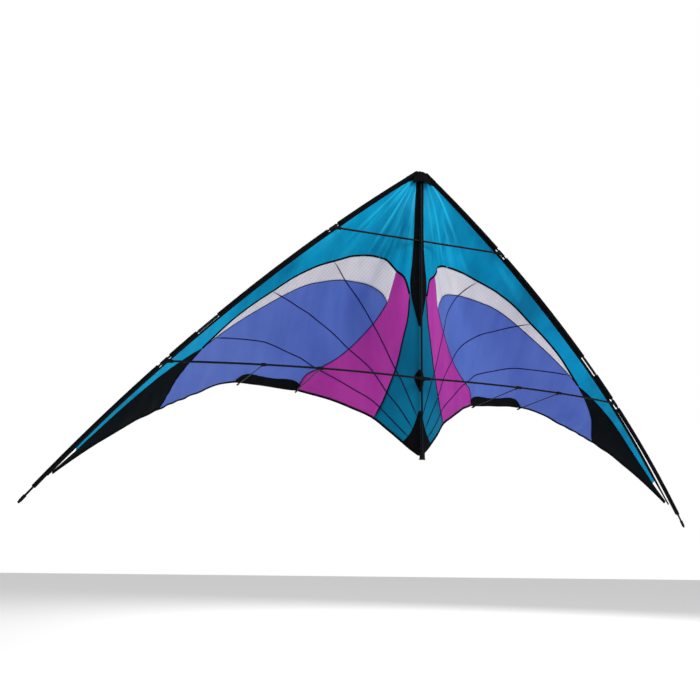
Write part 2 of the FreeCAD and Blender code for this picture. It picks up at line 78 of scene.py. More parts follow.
# At a share of the half span, how deep the cloth billows at the last four stations, in millimetres.
BILLOW = (
    (0.055, 40, 46, 50, 52), (0.110, 82, 100, 100, 101), (0.183, 106, 165, 170, 165),
    (0.288, 88, 168, 231, 275), (0.370, 86, 150, 229, 287), (0.462, 72, 124, 192, 266),
    (0.570, 54, 91, 133, 201), (0.690, 42, 66, 92, 133), (0.825, 30, 46, 61, 75),
    (1.000, 0, 0, 0, 0),
)
MEET = 0.288                         # share of the half span where the two trailing edges meet
# A share of the half span, then the trailing edge's height as a share of TAIL_DROP or TIP_DROP.
INNER_TRAIL = ((0, -1.0), (0.03, -0.877), (0.07, -0.68), (0.11, -0.482), (0.16, -0.335),
               (0.21, -0.198), (0.24, -0.128), (MEET, -0.03))
OUTER_TRAIL = ((MEET, -0.018), (0.37, 0.005), (0.462, 0.01), (0.515, -0.03), (0.57, -0.115),
               (0.66, -0.255), (0.75, -0.41), (0.825, -0.56), (0.9, -0.73), (0.96, -0.883),
               (1.0, -1.0))


# ---- The sail's surface ----------------------------------------------------------------------
# A place on a wing is (u, v): its share of the half span, and its share of the way from the
# leading edge's line to the trailing edge.

def smooth(xs, ys, at):
    """A curve through points, with a slope at each from its neighbours. ys may hold arrays."""
    xs, at = np.asarray(xs, float), np.asarray(at, float)
    ys = [np.broadcast_to(np.asarray(y, float), at.shape) for y in ys]
    last = len(xs) - 1
    slopes = []
    for i in range(last + 1):
        a, b = max(i - 1, 0), min(i + 1, last)
        slopes.append((ys[b] - ys[a]) / (xs[b] - xs[a]))
    out = np.zeros(at.shape)
    piece = np.clip(np.searchsorted(xs, at, side="left") - 1, 0, last - 1)
    for k in range(last):
        here = piece == k
        if not here.any():
            continue
        w = xs[k + 1] - xs[k]
        t = (at[here] - xs[k]) / w
        out[here] = (ys[k][here] * (2 * t**3 - 3 * t**2 + 1)
                     + slopes[k][here] * w * (t**3 - 2 * t**2 + t)
                     + ys[k + 1][here] * (3 * t**2 - 2 * t**3)
                     + slopes[k + 1][here] * w * (t**3 - t**2))
    return out


class Edge:
    """The leading edge's line: a circular arc that bulges forward and up."""

    def __init__(self):
        start, end = np.array(NOSE), np.array(TIP)
        span = end - start
        self.along = span / np.linalg.norm(span)
        bulge = np.array((0, -0.8, 1.0))
        out = bulge - self.along * bulge.dot(self.along)
        self.out = out / np.linalg.norm(out)
        self.half = math.asin(np.linalg.norm(span) / 2 / EDGE_RADIUS)
        self.centre = (start + end) / 2 - self.out * EDGE_RADIUS * math.cos(self.half)
        self.length = 2 * self.half * EDGE_RADIUS
        self.runs = np.linspace(0, self.length, 1500)
        self.points = self.at(self.runs)

    def at(self, run):
        turn = np.asarray(run)[..., None] / EDGE_RADIUS - self.half
        return self.centre + (self.out * np.cos(turn) + self.along * np.sin(turn)) * EDGE_RADIUS

    def tangent(self, run):
        turn = np.asarray(run)[..., None] / EDGE_RADIUS - self.half
        return self.along * np.cos(turn) - self.out * np.sin(turn)

    def yz(self, x):
        xs = self.points[:, 0]
        return np.interp(x, xs, self.points[:, 1]), np.interp(x, xs, self.points[:, 2])


EDGE = Edge()


def trail(u):
    """Height of the trailing edge."""
    inner = TAIL_DROP * smooth(*zip(*INNER_TRAIL), np.clip(u, 0, MEET))
    outer = TIP_DROP * smooth(*zip(*OUTER_TRAIL), np.clip(u, MEET, 1))
    return np.where(u < MEET, inner, outer)


def height(u):
    """How tall the cloth is, from the leading edge's line to the trailing edge."""
    u = np.asarray(u, float)
    return EDGE.yz(u * HALF_SPAN)[1] - trail(u)


def flat_place(u, v):
    """The cloth without its creases."""
    u, v = np.asarray(u, float), np.asarray(v, float)
    x = u * HALF_SPAN
    y0, top = EDGE.yz(x)
    seam = KEEL_BACK - NOSE[1]
    ribs = [(0.0,) + (seam,) * 4] + [(r[0], *(d / 1000 for d in r[1:])) for r in BILLOW]
    depth = [seam * np.clip(1 - u / 0.06, 0, 1) ** 2]
    for i in range(1, 5):
        depth.append(smooth([r[0] for r in ribs], [r[i] for r in ribs], u))
    z = top + v * (trail(u) - top)
    return np.stack([x, y0 + smooth(STATIONS, depth, np.clip(v, 0, 1)), z], -1)


def normal(u, v):
    """The way the smooth cloth faces, on the flyer's side."""
    e = 1e-3
    a = flat_place(u + e, v) - flat_place(np.maximum(u - e, 0), v)
    b = flat_place(u, np.minimum(v + e, 1)) - flat_place(u, np.maximum(v - e, 0))
    n = np.cross(a, b)
    n /= np.linalg.norm(n, axis=-1, keepdims=True)
    return np.where(n[..., 1:2] > 0, -n, n)


def bump_at(x, at, width):
    """1 at a place, and less with distance from it."""
    return np.exp(-((x - at) / width) ** 2)


def creases(u, v, side):
    """How far the cloth stands off its smooth surface: strain lines from the corners that pull."""
    p = flat_place(u, v)
    x, z = p[..., 0], p[..., 2]
    held = np.clip(v * 6, 0, 1) * np.clip(x / 0.05, 0, 1) * np.clip((1 - u) * 5, 0, 1)
    turn, reach = np.arctan2(x, NOSE[2] - z + 1e-6), np.hypot(x, NOSE[2] - z)
    rays = 0.0032 * np.sin(turn * 34 + side + 1.5 * np.sin(reach * 11)) * bump_at(reach, 0.27, 0.17)
    rays += 0.0017 * np.sin(turn * 71 + 2 * side) * bump_at(reach, 0.2, 0.13)
    fitting = flat_place(np.array(0.69), np.array(0.1))
    away = np.hypot(x - fitting[0], z - fitting[2])
    fan = 0.0018 * np.sin(np.arctan2(z - fitting[2], fitting[0] - x) * 17)
    fan *= bump_at(away, 0.16, 0.1)
    drape = 0.0016 * np.sin(u * 58 + 2.2 * np.sin(v * 3 + side)) * bump_at(v, 0.72, 0.28)
    drape *= bump_at(u, 0.33, 0.2)
    flutter = 0.0007 * np.sin(u * 96 + side) * bump_at(v, 1.0, 0.06) * (u < 0.93)
    flutter *= np.clip(x / 0.08, 0, 1) * np.clip((0.95 - u) * 8, 0, 1)
    return held * (rays + fan + drape) + flutter


def place(u, v, side, lift=0.0):
    """Points on a wing's cloth, moved towards the flyer by lift."""
    u, v = np.asarray(u, float), np.asarray(v, float)
    n = normal(u, v)
    p = flat_place(u, v) + n * (creases(u, v, side) + lift)[..., None]
    return p * (side, 1, 1)


# ---- Edges of the panels ---------------------------------------------------------------------
# Many of the places (u, v) in these edges and seams, and all of those in SEAMS, are as a fit to
# the kite's outline gave them, to a thousandth. The rest are listed.

def drop(u, metres):
    """A place that far below the leading edge's line."""
    return u, float(metres / height(u))


def rise(u, metres=INTO_HEM):
    """A place that far above the trailing edge."""
    return u, float(1 - metres / height(u))


TOP = [(0.0, 0.035)] + [drop(u, EDGE_DROP - UNDER_FACING) for u in (
    0.03, 0.06, 0.1, 0.15, 0.2, 0.28, 0.35, 0.42, 0.5, 0.56, 0.62, 0.68, 0.74, 0.8, 0.84, 0.88)]
BAND = [(0.026, 0.45), (0.04, 0.385), (0.06, 0.35), (0.085, 0.29), (0.115, 0.255), (0.15, 0.225),
        (0.185, 0.205), (0.235, 0.195), (0.295, 0.18), (0.355, 0.165), (0.41, 0.175),
        (0.47, 0.187), (0.52, 0.215), (0.56, 0.272), (0.588, 0.318)]
BAND_END = [(0.617, 0.395), (0.65, 0.57), (0.667, 0.78), rise(0.684)]
STRIP = [(0.655, 0.270), drop(0.72, 0.0270), drop(0.79, 0.0235), drop(0.84, 0.0205),
         drop(0.88, 0.0165)]
MESH_LOW = [(0.08, 0.478), (0.092, 0.44), (0.115, 0.4), (0.139, 0.366), (0.185, 0.322),
            (0.22, 0.305), (0.271, 0.288), (0.321, 0.27), (0.374, 0.266), (0.45, 0.28),
            (0.51, 0.292), (0.55, 0.302), (0.588, 0.32)]
ACCENT_OUT = [(0.08, 0.478), (0.094, 0.526), (0.109, 0.571), (0.13, 0.619), (0.166, 0.695),
              (0.2, 0.764), (0.239, 0.829), (0.268, 0.88)]
KEEL_OUT = [(0.026, 0.45), (0.03, 0.533), (0.042, 0.618), (0.058, 0.736), (0.075, 0.83),
            (0.089, 0.909), rise(0.107)]
FACING_LOW = ((0.012, 0.0115), (0.05, 0.0115), (0.12, 0.0112), (0.2, 0.0112), (0.3, 0.0112),
              (0.4, 0.0110), (0.5, 0.0106), (0.58, 0.0103), (0.65, 0.0100), (0.7, 0.0097),
              (0.76, 0.0093), (0.82, 0.0090), (0.87, 0.0087), (0.91, 0.0085), (0.94, 0.0083))
FACING_TOP = 0.0046                  # just below the spar, so that the sleeve's windows are backed
PATCH_TOP = [(0.277, 0.955), (0.294, 0.93), (0.317, 0.92), (0.358, 0.925), (0.394, 0.915),
             (0.431, 0.9), (0.45, 0.915), (0.468, 0.965)]
LEAST_SHARE = 0.35                   # the least area that is stated, as a share of the rectangle
CLOTH_THICK = 0.0003
SEAMS = {
    "inner": [(.234, .197), (.206, .263), (.185, .322), (.161, .39), (.138, .469), (.111, .576),
              (.066, .727), (.046, .775), (.007, .876)],
    "middle": [(.41, .18), (.367, .297), (.321, .403), (.266, .502), (.209, .603), (.166, .695),
               (.119, .777), (.079, .851), (.049, .883), (.017, .924)],
    "outer": [(.56, .288), (.533, .384), (.495, .488), (.459, .552), (.404, .615), (.349, .689),
              (.287, .768), (.243, .827), (.167, .89), (.095, .931), (.049, .954), (.024, .96)],
}
PANELS = {
    "leading_panel": (TOP, [(0.0, 0.47)] + BAND + STRIP, 90, 34),
    "mesh_panel": (BAND[2:], MESH_LOW, 70, 12),
    "main_panel": (MESH_LOW + BAND_END, ACCENT_OUT + [rise(u) for u in (
        0.287, 0.32, 0.358, 0.431, 0.462, 0.485, 0.55, 0.62, 0.684)], 90, 44),
    "accent_panel": (KEEL_OUT, BAND[:3] + ACCENT_OUT + [rise(0.287)], 70, 24),
    "keel_panel": ([(0.0, 0.47), (0.0, 0.7), (0.0, 0.993)], KEEL_OUT, 50, 14),
    "tip_panel": ([(0.588, 0.318)] + STRIP + [drop(0.93, 0.0095)],
                  BAND_END + [rise(u) for u in (0.72, 0.78, 0.84, 0.9)] + [rise(0.93, 0.004)],
                  60, 14),
}


def resampled(points, count):
    """Evenly spaced places along the smooth curve through an edge's points."""
    pts = np.array(points, float)
    flat = flat_place(pts[:, 0], pts[:, 1])[:, (0, 2)]
    steps = np.maximum(np.linalg.norm(np.diff(flat, axis=0), axis=1), 1e-6)
    runs = np.concatenate([[0], np.cumsum(steps)])
    at = np.linspace(0, runs[-1], count)
    return np.stack([smooth(runs, pts[:, i], at) for i in (0, 1)], -1)


# ---- Meshes ----------------------------------------------------------------------------------

def add_mesh(name, verts, faces, material, uv=None, rounded=True):
    mesh = bpy.data.meshes.new(name)
    mesh.from_pydata([tuple(v) for v in verts], [], faces)
    mesh.validate()
    if rounded:
        mesh.polygons.foreach_set("use_smooth", [True] * len(mesh.polygons))
    if uv is not None:
        layer = mesh.uv_layers.new(name="cloth")
        index = np.empty(len(mesh.loops), int)
        mesh.loops.foreach_get("vertex_index", index)
        layer.data.foreach_set("uv", np.asarray(uv, np.float32)[index].ravel())
    mesh.materials.append(material)
    mesh.update()
    thing = bpy.data.objects.new(name, mesh)
    bpy.context.scene.collection.objects.link(thing)
    return thing


def slab(front, back, name, material, uv=None):
    """A closed thin solid between two grids of points."""
    rows, cols = front.shape[:2]
    total = rows * cols
    index = np.arange(total).reshape(rows, cols)
    faces = []
    for i in range(rows - 1):
        for j in range(cols - 1):
            a, b, c, d = index[i, j], index[i + 1, j], index[i + 1, j + 1], index[i, j + 1]
            faces.append((a, b, c, d))
            faces.append((d + total, c + total, b + total, a + total))
    rim = [*index[0, :], *index[1:, -1], *index[-1, :-1][::-1], *index[1:-1, 0][::-1]]
    for a, b in zip(rim, rim[1:] + rim[:1]):
        faces.append((a, b, b + total, a + total))
    verts = np.concatenate([front.reshape(-1, 3), back.reshape(-1, 3)])
    faces = [tuple(int(i) for i in f) for f in faces]
    both = None if uv is None else np.concatenate([uv.reshape(-1, 2)] * 2)
    thing = add_mesh(name, verts, faces, material, both)
    fix_normals(thing)
    return thing


def fix_normals(thing):
    """Joins the points that lie together, and turns every face outwards."""
    bm = bmesh.new()
    bm.from_mesh(thing.data)
    bmesh.ops.remove_doubles(bm, verts=bm.verts, dist=2e-6)
    bmesh.ops.recalc_face_normals(bm, faces=bm.faces)
    bm.to_mesh(thing.data)
    bm.free()


def panel(name, first, second, along, across, side, material, lift=0.0,
          thick=CLOTH_THICK):
    """A sheet between two edges. Returns it, its stated width and length, and its area."""
    a, b = resampled(first, along), resampled(second, along)
    t = np.linspace(0, 1, across)[None, :, None]
    grid = a[:, None, :] * (1 - t) + b[:, None, :] * t
    u, v = np.clip(grid[..., 0], 0, 1), np.clip(grid[..., 1], 0, 1)
    front = place(u, v, side, lift + thick / 2)
    back = place(u, v, side, lift - thick / 2)
    mid = (front + back) / 2
    uv = np.stack([mid[..., 0], mid[..., 2]], -1)
    thing = slab(front, back, name, material, uv)
    wide = np.linalg.norm(np.diff(mid, axis=1), axis=-1).sum(1).max()
    long = max(np.linalg.norm(np.diff(mid[:, j], axis=0), axis=-1).sum() for j in (0, -1))
    e1, e2 = mid[1:, :-1] - mid[:-1, :-1], mid[:-1, 1:] - mid[:-1, :-1]
    area = float(np.linalg.norm(np.cross(e1, e2), axis=-1).sum())
    # This cuts the stated width of the leading panel and the tail patch below their longest row.
    wide = float(np.clip(wide, area / long, area / long / LEAST_SHARE))
    return thing, (wide, float(long)), area


def ribbon(name, points, width, side, material, lift=0.0004, thick=0.0007, count=None, taper=False):
    """A flat sewn tape that follows the cloth. Returns it and its two edges for stitching."""
    count = count or max(12, int(len(points) * 9))
    path = resampled(points, count)
    u, v = np.clip(path[:, 0], 0, 1), np.clip(path[:, 1], 0, 1)
    line = place(u, v, side) * (side, 1, 1)
    out = normal(u, v)
    way = np.gradient(line, axis=0)
    way /= np.linalg.norm(way, axis=1, keepdims=True)
    across = np.cross(out, way)
    across /= np.linalg.norm(across, axis=1, keepdims=True)
    shape = np.ones(count)
    if taper:
        shape = np.clip(np.minimum(np.arange(count), np.arange(count)[::-1]) / 4, 0.25, 1)
    steps = np.linspace(-1, 1, 5)
    front, back = [], []
    for s in steps:
        offset = across * (s * width / 2 * shape)[:, None]
        crown = thick * (1 - 0.5 * s * s)
        front.append(line + offset + out * (lift + crown))
        back.append(line + offset - out * (lift * 0.6 + thick * 0.3))
    front, back = (np.stack(g, 1) * (side, 1, 1) for g in (front, back))
    run = np.concatenate([[0], np.cumsum(np.linalg.norm(np.diff(line, axis=0), axis=1))])
    uv = np.stack([np.repeat(run[:, None], 5, 1), np.repeat(steps[None] * width / 2, count, 0)], -1)
    thing = slab(front, back, name, material, uv)
    rows = [(line + across * (s * width / 2 * shape)[:, None] + out * (lift + thick * 0.8))
            * (side, 1, 1) for s in (-0.62, 0.62)]
    return thing, rows, out * (side, 1, 1), float(run[-1])


def stitches(name, rows, material, pitch=0.0036, long=0.0024, wide=0.00045, tall=0.0003):
    """Short raised threads along rows of (points, normals)."""
    verts, faces = [], []
    for line, out in rows:
        run = np.concatenate([[0], np.cumsum(np.linalg.norm(np.diff(line, axis=0), axis=1))])
        if run[-1] < pitch * 2:
            continue
        starts = np.arange(pitch / 2, run[-1] - pitch / 2, pitch)
        for s in starts:
            p = np.array([np.interp(s, run, line[:, i]) for i in range(3)])
            q = np.array([np.interp(s + long, run, line[:, i]) for i in range(3)])
            n = np.array([np.interp(s, run, out[:, i]) for i in range(3)])
            way = q - p
            b = np.cross(n, way)
            b *= wide / 2 / max(np.linalg.norm(b), 1e-9)
            mid = (p + q) / 2 + n * tall
            base = len(verts)
            verts += [p - b * .5, p + b * .5, mid + b, mid - b, q + b * .5, q - b * .5,
                      (p + q) / 2 - n * tall]
            faces += [(base, base + 1, base + 2, base + 3), (base + 3, base + 2, base + 4, base + 5),
                      (base, base + 3, base + 6), (base + 3, base + 5, base + 6),
                      (base + 1, base + 6, base + 2), (base + 2, base + 6, base + 4),
                      (base, base + 6, base + 1), (base + 5, base + 4, base + 6)]
    return add_mesh(name, verts, faces, material)


def sweep(name, centres, ring, material):
    """A closed skin over rings of points, capped at both ends."""
    count, around = ring.shape[:2]
    verts = list(ring.reshape(-1, 3)) + [centres[0], centres[-1]]
    faces = []
    for i in range(count - 1):
        for j in range(around):
            k = (j + 1) % around
            faces.append((i * around + j, i * around + k, (i + 1) * around + k, (i + 1) * around + j))
    last = (count - 1) * around
    for j in range(around):
        k = (j + 1) % around
        faces.append((count * around, k, j))
        faces.append((count * around + 1, last + j, last + k))
    thing = add_mesh(name, verts, faces, material)
    fix_normals(thing)
    return thing


# ---- Materials -------------------------------------------------------------------------------

class Nodes:
    """A material's nodes, and short ways to add to them."""

    def __init__(self, name):
        self.material = bpy.data.materials.new(name)
        self.material.use_nodes = True
        self.tree = self.material.node_tree
        self.tree.nodes.clear()
        self.out = self.add("ShaderNodeOutputMaterial")

    def add(self, kind, **values):
        node = self.tree.nodes.new(kind)
        for key, value in values.items():
            setattr(node, key, value)
        return node

    def link(self, a, b):
        self.tree.links.new(a, b)

    def math(self, operation, a, b=None):
        node = self.add("ShaderNodeMath", operation=operation)
        for i, value in enumerate((a, b)):
            if value is None:
                continue
            if hasattr(value, "is_output"):
                self.link(value, node.inputs[i])
            else:
                node.inputs[i].default_value = value
        return node.outputs[0]

    def noise(self, scale, detail=3.0, stretch=None, coords=None):
        source = coords or self.add("ShaderNodeTexCoord").outputs["Object"]
        if stretch:
            mapping = self.add("ShaderNodeMapping")
            mapping.inputs["Scale"].default_value = stretch
            self.link(source, mapping.inputs["Vector"])
            source = mapping.outputs[0]
        node = self.add("ShaderNodeTexNoise")
        node.inputs["Scale"].default_value = scale
        node.inputs["Detail"].default_value = detail
        self.link(source, node.inputs["Vector"])
        return node.outputs["Fac"]

    def mix(self, factor, a, b, blend="MIX"):
        node = self.add("ShaderNodeMix", data_type="RGBA", blend_type=blend)
        for socket, value in ((node.inputs[0], factor), (node.inputs[6], a), (node.inputs[7], b)):
            if hasattr(value, "is_output"):
                self.link(value, socket)
            elif isinstance(value, (int, float)):
                socket.default_value = value
            else:
                socket.default_value = (*value, 1.0)
        return node.outputs[2]

    def ramp(self, value, low, high, a=0.0, b=1.0):
        node = self.add("ShaderNodeMapRange")
        self.link(value, node.inputs[0])
        for i, number in enumerate((low, high, a, b), start=1):
            node.inputs[i].default_value = number
        return node.outputs[0]

    def bump(self, height, strength, distance):
        node = self.add("ShaderNodeBump")
        node.inputs["Strength"].default_value = strength
        node.inputs["Distance"].default_value = distance
        self.link(height, node.inputs["Height"])
        return node.outputs[0]

    def surface(self, colour, rough, bump, constants):
        """A principled surface, with its constants set on its own sockets."""
        node = self.add("ShaderNodeBsdfPrincipled")
        for socket, value in constants.items():
            node.inputs[socket].default_value = value
        self.link(colour, node.inputs["Base Color"])
        self.link(rough, node.inputs["Roughness"])
        self.link(bump, node.inputs["Normal"])
        return node.outputs[0]

    def done(self, shader):
        self.link(shader, self.out.inputs[0])
        return self.material


def threads(n, pitch, width, turn=0.0):
    """1 on the raised threads of a square grid of that pitch, in metres on the cloth."""
    mapping = n.add("ShaderNodeMapping")
    mapping.inputs["Rotation"].default_value = (0, 0, turn)
    n.link(n.add("ShaderNodeUVMap", uv_map="cloth").outputs[0], mapping.inputs["Vector"])
    parts = n.add("ShaderNodeSeparateXYZ")
    n.link(mapping.outputs[0], parts.inputs[0])
    lines = []
    for axis in (0, 1):
        wave = n.math("PINGPONG", parts.outputs[axis], pitch / 2)
        lines.append(n.math("LESS_THAN", wave, width / 2))
    return n.math("MAXIMUM", *lines), lines


def painted_nose_highlights(n):
    """Painted highlights: pale lines for light on the creases that fan from the nose, fading down the
    sail.
    """
    parts = n.add("ShaderNodeSeparateXYZ")
    n.link(n.add("ShaderNodeTexCoord").outputs["Object"], parts.inputs[0])
    below = n.math("SUBTRACT", 0.70, parts.outputs[2])
    fan = n.add("ShaderNodeCombineXYZ")
    n.link(n.math("MULTIPLY", n.math("ARCTAN2", parts.outputs[0], below), 13.0), fan.inputs[0])
    n.link(n.math("MULTIPLY", below, 3.0), fan.inputs[1])
    lines = n.ramp(n.noise(1.0, 2.5, coords=fan.outputs[0]), 0.52, 0.68)
    return n.math("MULTIPLY", lines, n.ramp(below, 0.10, 0.42, 0.75, 0.0))


# light: the paler colour, used for the painted light on creases and for the ripstop's thicker threads
def cloth(name, colour, deep, light, through=0.38, rough=0.45, sheen=0.015, grid=0.005,
          hatch=False, shine=0.06, glints=None):
    """Coated ripstop: fine grid of thicker threads, painted light on soft creases, some light shining
    through.
    """
    n = Nodes(name)
    blotch = n.ramp(n.noise(3.1, 4), 0.35, 0.65)
    # pale stretched streaks mixed into the colour: painted light standing in for soft creases
    painted_crease_light = n.ramp(n.noise(7.0, 3, stretch=(3.4, 1.0, 0.7)), 0.3, 0.75)
    base = n.mix(blotch, deep, colour)
    base = n.mix(n.math("MULTIPLY", painted_crease_light, 0.45), base, light)
    # painted highlights: a lighter teal along the creases that fan from the nose
    if glints:
        base = n.mix(painted_nose_highlights(n), base, glints)
    rip = threads(n, grid, grid * 0.12)[0]
    if hatch:
        pair = threads(n, 0.0085, 0.0013, math.radians(38))[1]
        base = n.mix(n.math("MULTIPLY", pair[0], 0.50), base, (0.36, 0.35, 0.42))
        base = n.mix(n.math("MULTIPLY", pair[1], 0.22), base, (0.42, 0.40, 0.48))
    base = n.mix(n.math("MULTIPLY", rip, 0.22), base, light)
    weave = n.noise(1500, 1.0)
    total = n.math("ADD", n.math("MULTIPLY", rip, 0.8), n.math("MULTIPLY", weave, 0.5))
    roughness = n.ramp(n.noise(22, 3), 0.3, 0.7, rough - 0.07, rough + 0.09)
    shader = n.surface(base, roughness, n.bump(total, 0.22, 0.0004), {
        "Sheen Weight": sheen, "Sheen Roughness": 0.4, "Specular IOR Level": shine})
    if not through:
        return n.done(shader)
    glow = n.add("ShaderNodeBsdfTranslucent")
    n.link(base, glow.inputs["Color"])
    mixer = n.add("ShaderNodeMixShader")
    mixer.inputs[0].default_value = through
    n.link(shader, mixer.inputs[1])
    n.link(glow.outputs[0], mixer.inputs[2])
    return n.done(mixer.outputs[0])


def webbing(name, colour, pitch=0.0014):
    """Tightly woven tape, ribbed across its length, dusty on the high threads."""
    n = Nodes(name)
    coords = n.add("ShaderNodeTexCoord").outputs["Object"]
    wave = n.add("ShaderNodeTexWave", wave_type="BANDS", bands_direction="DIAGONAL")
    wave.inputs["Scale"].default_value = 1 / pitch / 6.3
    wave.inputs["Distortion"].default_value = 1.2
    n.link(coords, wave.inputs["Vector"])
    worn = n.ramp(n.noise(35, 5), 0.5, 0.8)
    base = n.mix(wave.outputs["Fac"], tuple(c * 0.55 for c in colour), colour)
    base = n.mix(n.math("MULTIPLY", worn, 0.35), base, tuple(c * 2.4 + 0.002 for c in colour))
    ribs = n.math("ADD", wave.outputs["Fac"], n.noise(900, 2))
    return n.done(n.surface(base, n.ramp(worn, 0, 1, 0.62, 0.8), n.bump(ribs, 0.5, 0.0004), {
        "Sheen Weight": 0.003, "Specular IOR Level": 0.02}))


def carbon(name, colour=(0.0035, 0.0035, 0.004), turn=0.0):
    """Wrapped carbon tube: fine slanting filaments under a clear, slightly scuffed surface."""
    n = Nodes(name)
    coords = n.add("ShaderNodeTexCoord").outputs["Object"]
    mapping = n.add("ShaderNodeMapping")
    mapping.inputs["Rotation"].default_value = (0, turn, 0.6)
    n.link(coords, mapping.inputs["Vector"])
    wave = n.add("ShaderNodeTexWave", wave_type="BANDS", bands_direction="Z")
    wave.inputs["Scale"].default_value = 95
    wave.inputs["Distortion"].default_value = 2.0
    n.link(mapping.outputs[0], wave.inputs["Vector"])
    scuff = n.ramp(n.noise(60, 6), 0.55, 0.75)
    base = n.mix(wave.outputs["Fac"], colour, tuple(c * 2.4 for c in colour))
    base = n.mix(n.math("MULTIPLY", scuff, 0.2), base, (0.010, 0.010, 0.011))
    bump = n.bump(wave.outputs["Fac"], 0.15, 0.0002)
    return n.done(n.surface(base, n.ramp(scuff, 0, 1, 0.26, 0.5), bump, {
        "Specular IOR Level": 0.03, "Coat Weight": 0.008, "Coat Roughness": 0.15}))


def moulded(name, colour, rough):
    """Moulded rubber or nylon: faint grain, paler where hands and rods have rubbed it."""
    n = Nodes(name)
    rub = n.ramp(n.noise(85, 5), 0.5, 0.72)
    base = n.mix(n.math("MULTIPLY", rub, 0.5), colour, tuple(c * 2.2 + 0.003 for c in colour))
    bump = n.bump(n.noise(700, 3), 0.3, 0.0003)
    return n.done(n.surface(base, n.ramp(rub, 0, 1, rough, rough + 0.16), bump, {
        "Specular IOR Level": 0.05}))


# glints: the colour of the painted highlights on the creases by the nose
TEAL = cloth("teal_ripstop", (0.001, 0.34, 0.59), (0.001, 0.17, 0.34), (0.004, 0.50, 0.76),
             glints=(0.030, 0.64, 0.88))
DEEP_TEAL = cloth("deep_teal_ripstop", (0.001, 0.165, 0.30), (0.001, 0.10, 0.21), (0.004, 0.23, 0.38))
WHITE = cloth("white_mesh", (0.69, 0.68, 0.73), (0.60, 0.59, 0.64), (0.80, 0.79, 0.82),
              through=0.45, hatch=True)
BLUE = cloth("blue_ripstop", (0.108, 0.178, 0.53), (0.080, 0.142, 0.48), (0.150, 0.235, 0.60))
MAGENTA = cloth("magenta_ripstop", (0.46, 0.045, 0.38), (0.36, 0.030, 0.32), (0.54, 0.085, 0.44))
BLACK = cloth("black_ripstop", (0.0030, 0.0045, 0.0055), (0.0018, 0.0028, 0.0038),
              (0.0045, 0.006, 0.0075), through=0.0, rough=0.6, sheen=0.002, shine=0.02)
TAPE = webbing("black_webbing", (0.0032, 0.0034, 0.0042))
NAVY = webbing("seam_tape", (0.010, 0.010, 0.062))
THREAD = webbing("stitching_thread", (0.006, 0.0065, 0.012), pitch=0.0007)
CARBON = carbon("carbon_rod")
FERRULE = carbon("carbon_ferrule", (0.005, 0.005, 0.006), 0.5)
RUBBER = moulded("moulded_rubber", (0.0035, 0.0035, 0.004), 0.55)
NYLON = moulded("moulded_plastic", (0.004, 0.004, 0.0045), 0.4)

# ---- Frame parts keep their CAD shape ---------------------------------------------------------
FINISH = {"carbon_rod": CARBON, "carbon_ferrule": FERRULE, "moulded_rubber": RUBBER,
          "moulded_plastic": NYLON}
for part in frame["record"]["subparts"]:
    finish = FINISH.get(part["material_slot"])
    if finish is None:
        continue
    thing = frame["nodes"][part["node"]]
    thing.data.materials.clear()
    thing.data.materials.append(finish)

# ---- The sail --------------------------------------------------------------------------------
SKINS = {"leading_panel": TEAL, "mesh_panel": WHITE, "main_panel": BLUE,
         "accent_panel": MAGENTA, "keel_panel": DEEP_TEAL, "tip_panel": BLACK}


def onto_wing(thing, side):
    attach(thing, wing(side))
    return thing


def wing(side):
    return ("right" if side > 0 else "left") + "_wing"


def named(side):
    return "right_" if side > 0 else "left_"


def sleeve_piece(side, number, first, last, radius, tail, material):
    """Folded cloth round the spar, sewn down to the sail along its flat tail."""
    count = max(8, int((last - first) / 0.012))
    runs = np.linspace(first, last, count)
    centre, way = EDGE.at(runs), EDGE.tangent(runs)
    u = np.clip(centre[:, 0] / HALF_SPAN, 0, 1)
    h = np.maximum(height(u), 0.012)
    reach = np.minimum(tail / h * 1.45, 0.9)
    foot = place(u, reach, 1, 0.0)
    down = foot - centre
    down -= way * (down * way).sum(1)[:, None]
    distance = np.linalg.norm(down, axis=1)
    down /= distance[:, None]
    side_way = np.cross(way, down)
    around = 20
    ring = np.zeros((count, around, 3))
    wrinkle = np.array([noise.noise(Vector((r * 55, side * 3.0, number))) for r in runs])
    for j in range(around):
        turn = 2 * math.pi * j / around
        c, s = math.cos(turn), math.sin(turn)
        r = radius * (1 + 0.06 * wrinkle * math.sin(turn * 2))
        pull = max(c, 0.0) ** 3
        ring[:, j] = (centre + down * (r * c + pull * (np.minimum(distance, tail) - radius))[:, None]
                      + side_way * (r * s * (1 - 0.85 * pull))[:, None])
    ring[:, :, 0] *= side
    middle = centre * (side, 1, 1)
    return sweep(f"{named(side)}sleeve_{number}", middle, ring, material)


NOSE_FOOT, NOSE_REACH = 0.646, 0.030    # the webbing's lower edge, and how far out it goes
NOSE_ROWS = (NOSE_FOOT, 0.652, 0.658, 0.665)
NOSE_NEAR, NOSE_LEAN = 0.0125, 0.0006   # its side by the flyer, and how far its middle leans back
NOSE_TURN, NOSE_CROWN = 0.672, 0.0145   # where it turns over the top, and how much higher that goes
SLEEVE_RADIUS, SLEEVE_TAIL, FIRST_TAIL = 0.0060, 0.0090, 0.0105
SLEEVE_START, SLEEVE_SHORT = 0.006, 0.056   # from the nose, and short of the tip
COVER_RADIUS, COVER_TAIL = 0.0067, 0.012
COVER_START, COVER_END = 0.004, 0.046
WINDOW, FERRULE_WINDOW = 0.022, 0.040   # half the sleeve's gap at a fitting, and at the ferrule


